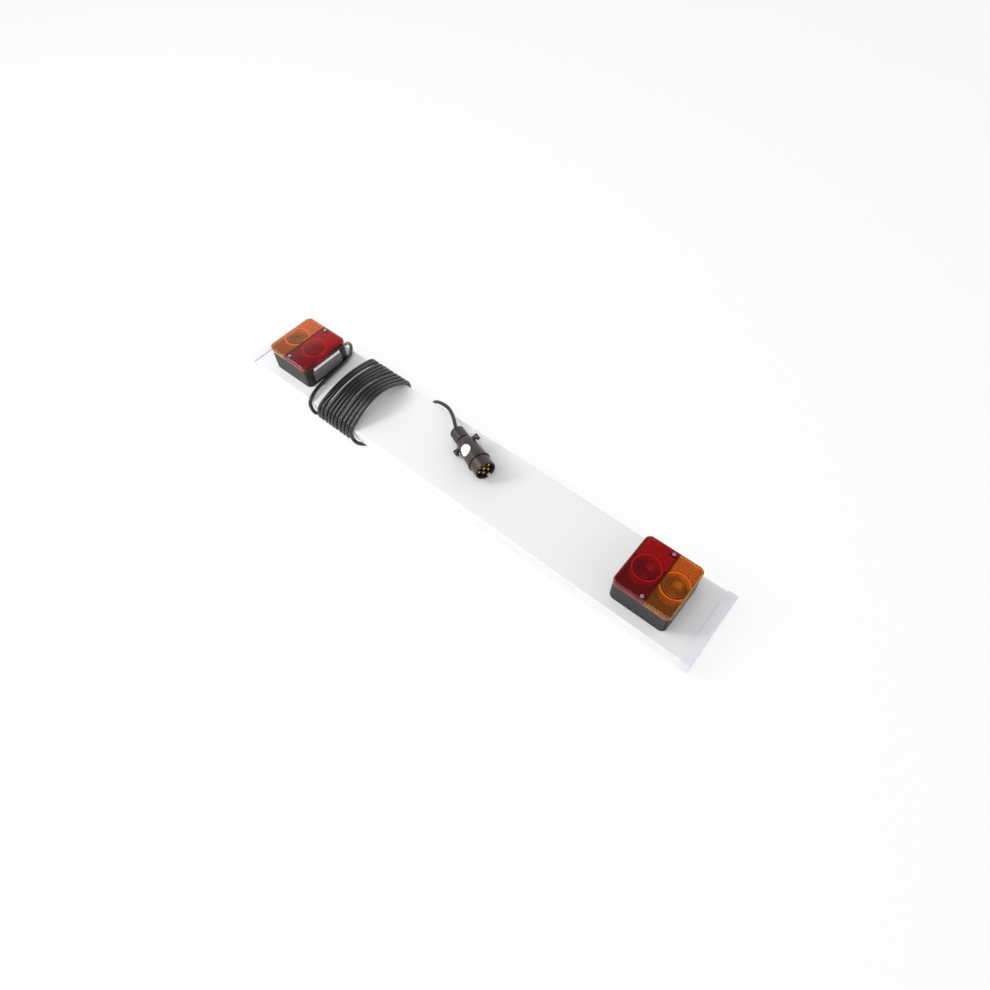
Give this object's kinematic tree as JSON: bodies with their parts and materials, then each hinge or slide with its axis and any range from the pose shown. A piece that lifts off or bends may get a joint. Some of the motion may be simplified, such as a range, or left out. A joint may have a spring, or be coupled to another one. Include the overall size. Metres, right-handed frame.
{
  "type": "trailer lighting board",
  "caption": "White channel board with a red and amber lamp at each end, a black cable wound round it and a round pin plug; it repeats a vehicle's lights behind a trailer or carrier.",
  "frame": {"origin": "centre of the board's front face", "axes": "+X along the board to its right-hand lamp, +Y to its upper edge, +Z out of the front face"},
  "size_m": [0.98, 0.1745, 0.0788],
  "materials": {
    "white_pvc": "satin extruded PVC",
    "cap_plastic": "satin moulded",
    "housing_plastic": "satin moulded",
    "red_acrylic": "clear tinted",
    "amber_acrylic": "clear tinted",
    "clear_plastic": "clear",
    "seal_rubber": "matte",
    "zinc_steel": "zinc plated",
    "bulb_glass": "clear",
    "holder_plastic": "moulded",
    "plug_plastic": "satin moulded",
    "pin_brass": "turned",
    "cable_sheath": "smooth sheath"
  },
  "bodies": {
    "root": {"board": "white_pvc", "end_cap_left": "cap_plastic", "end_cap_right": "cap_plastic", "housing_left": "housing_plastic", "housing_right": "housing_plastic", "red_lens_left": "red_acrylic", "red_lens_right": "red_acrylic", "amber_lens_left": "amber_acrylic", "amber_lens_right": "amber_acrylic", "plate_window_left": "clear_plastic", "plate_window_right": "clear_plastic", "lens_seals": "seal_rubber", "lens_screws": "zinc_steel", "mounting_bolts": "zinc_steel", "mounting_nuts": "zinc_steel", "bulb_glasses": "bulb_glass", "bulb_holders": "holder_plastic", "cable_grommets": "seal_rubber", "plug_body": "plug_plastic", "plug_gland_nut": "plug_plastic", "plug_insert": "plug_plastic", "plug_pins": "pin_brass", "cable_start": "cable_sheath", "cable_coil": "cable_sheath", "cable_tail": "cable_sheath"}
  },
  "joints": []
}
